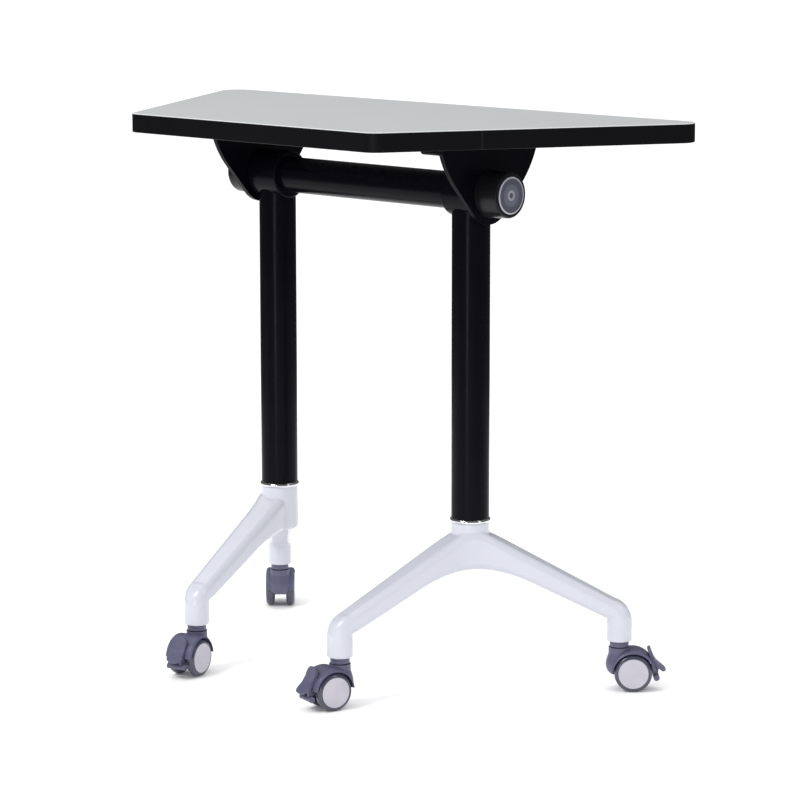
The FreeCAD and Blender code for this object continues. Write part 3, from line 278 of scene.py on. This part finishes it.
def particle_board(name):
    """Pressed wood chips."""
    look = Look(name, BOARD_BROWN, roughness=0.8, specular=0.2)
    chips = look.node("ShaderNodeTexVoronoi", {"Vector": look.place(), "Scale": 420}).outputs["Distance"]
    look.tint(chips, spread=0.35, start=0.1, end=0.6)
    look.bump(chips, strength=0.3, distance=0.0004)
    return look


def button_face(name):
    """Grey moulded button: a lighter rim and a plain ring, set out from the flip axis."""
    look = Look(name, BUTTON_GREY, roughness=0.45, specular=0.4)
    low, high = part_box("right_release_button")
    centre = (low + high) / 2
    radius = (high.z - low.z) / 2
    across = look.maths("SUBTRACT", look.along("Y"), centre.y)
    upward = look.maths("SUBTRACT", look.along("Z"), centre.z)
    across_square = look.maths("MULTIPLY", across, across)
    upward_square = look.maths("MULTIPLY", upward, upward)
    from_centre = look.maths("SQRT", look.maths("ADD", across_square, upward_square))
    share = look.maths("DIVIDE", from_centre, radius)
    look.shade("Base Color", look.ramp(share, BUTTON_RINGS))
    look.bump(look.noise(scale=1600, detail=2.0), strength=0.2, distance=0.0001)
    look.vary_roughness(look.noise(scale=90, detail=2.0), below=0.05, above=0.07)
    return look


def wheel_plastic(name):
    """Moulded plastic with a shallow, glossy grain."""
    grain = {"grain": WHEEL_GRAIN, "height": WHEEL_GRAIN_HEIGHT}
    return moulded_plastic(name, WHEEL_VIOLET, specular=0.7, roughness=0.10, **grain)


def dress(frame):
    """Gives every CAD node its material; nodes without a look of their own are steel."""
    coat = powder_coat("black_powder_coat", COAT_BLACK, specular=0.07, roughness=0.24)
    cover = moulded_plastic("black_cover_plastic", COVER_BLACK, specular=0.2, roughness=0.30)
    castor = moulded_plastic("castor_nylon", CASTOR_VIOLET, specular=0.4, roughness=0.36)
    pedal = pedal_plastic("pedal_nylon", CASTOR_VIOLET, specular=0.4, roughness=0.36)
    wheel = wheel_plastic("wheel_tread")
    disc = moulded_plastic("disc_nylon", DISC_GREY, specular=0.35, roughness=0.40)
    nylon = moulded_plastic("dark_nylon", NYLON_BLACK, specular=0.4, roughness=0.45)
    steel = turned_steel("zinc_steel")
    white = gloss_paint("white_gloss_paint")
    button = button_face("button_grey")
    looks = {
        "top_board": particle_board("particle_board"),
        "top_laminate": laminate("grey_laminate", LAMINATE_GREY, specular=0.2, roughness=0.42),
        "backing_laminate": laminate("backing_laminate", BACKING_GREY, specular=0.3, roughness=0.5),
        "edge_band": edge_band("edge_band"),
        "cross_beam": coat,
        "trim_rings": polished_chrome("chrome"),
        "pivot_bushes": nylon,
        "castor_sockets": nylon,
        "castor_collars": castor,
    }
    for side in SIDES:
        for piece in ("column", "leg_head", "flip_bracket"):
            looks[side + "_" + piece] = coat
        looks[side + "_hub_cover"] = cover
        looks[side + "_release_button"] = button
        looks[side + "_foot"] = white
    for place in CASTORS:
        looks[place + "_castor_hood"] = castor
        looks[place + "_brake_pedal"] = pedal
        for which in ("one", "two"):
            looks[place + "_wheel_" + which] = wheel
            looks[place + "_wheel_disc_" + which] = disc
    for name, node in frame["nodes"].items():
        node.data.materials.clear()
        node.data.materials.append(looks.get(name, steel).material)


def make_camera():
    """Camera at the photograph's angle."""
    data = bpy.data.cameras.new("camera")
    data.lens = CAMERA_LENS
    data.sensor_width = CAMERA_SENSOR
    camera = bpy.data.objects.new("camera", data)
    camera.location = CAMERA_PLACE
    turns = (90 - CAMERA_PITCH, CAMERA_ROLL, CAMERA_YAW)
    camera.rotation_euler = [math.radians(turn) for turn in turns]
    bpy.context.scene.collection.objects.link(camera)
    bpy.context.scene.camera = camera


def make_world():
    """White surroundings, dimmer in reflections, as in a studio with a lit backdrop."""
    world = bpy.data.worlds.new("studio")
    bpy.context.scene.world = world
    world.use_nodes = True
    tree = world.node_tree
    output = tree.nodes["World Output"]
    rays = tree.nodes.new("ShaderNodeLightPath")
    mix = tree.nodes.new("ShaderNodeMixShader")
    tree.links.new(rays.outputs["Is Glossy Ray"], mix.inputs["Fac"])
    for slot, strength in ((1, BACKDROP_STRENGTH), (2, REFLECTED_STRENGTH)):
        background = tree.nodes.new("ShaderNodeBackground")
        background.inputs["Strength"].default_value = strength
        background.inputs["Color"].default_value = (1, 1, 1, 1)
        tree.links.new(background.outputs["Background"], mix.inputs[slot])
    tree.links.new(mix.outputs["Shader"], output.inputs["Surface"])


def make_floor():
    """Plain pale floor."""
    mesh = bpy.data.meshes.new("floor")
    corners = [(FLOOR_HALF * a, FLOOR_HALF * b, 0) for a, b in ((-1, -1), (1, -1), (1, 1), (-1, 1))]
    mesh.from_pydata(corners, [], [(0, 1, 2, 3)])
    floor = bpy.data.objects.new("floor", mesh)
    bpy.context.scene.collection.objects.link(floor)
    pale = Look("floor_paint", FLOOR_WHITE, roughness=0.8, specular=0.05)
    pale.tint(pale.noise(scale=3, detail=2.0), spread=0.003)
    mesh.materials.append(pale.material)


def area_light(name, place, size, watts):
    """Soft box that faces the light target."""
    data = bpy.data.lights.new(name, "AREA")
    data.shape = "RECTANGLE"
    data.size, data.size_y = size
    data.energy = watts
    light = bpy.data.objects.new(name, data)
    light.location = place
    way = [end - start for start, end in zip(place, LIGHT_TARGET)]
    tilt = math.atan2(math.hypot(way[0], way[1]), -way[2])
    turn = math.atan2(way[1], way[0]) - math.pi / 2
    light.rotation_euler = (tilt, 0, turn)
    bpy.context.scene.collection.objects.link(light)


def make_lights():
    """Soft studio lights."""
    for name, values in LIGHTS.items():
        area_light(name, **values)


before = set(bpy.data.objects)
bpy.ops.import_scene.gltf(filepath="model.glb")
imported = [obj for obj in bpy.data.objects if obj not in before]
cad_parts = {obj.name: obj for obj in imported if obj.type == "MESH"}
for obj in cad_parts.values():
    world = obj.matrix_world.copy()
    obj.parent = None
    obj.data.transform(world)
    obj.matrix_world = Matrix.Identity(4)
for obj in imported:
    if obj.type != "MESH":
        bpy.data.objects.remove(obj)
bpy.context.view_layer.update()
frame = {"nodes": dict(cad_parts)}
make_camera()
make_world()
make_floor()
make_lights()
dress(frame)
bpy.context.scene.view_settings.view_transform = "Standard"
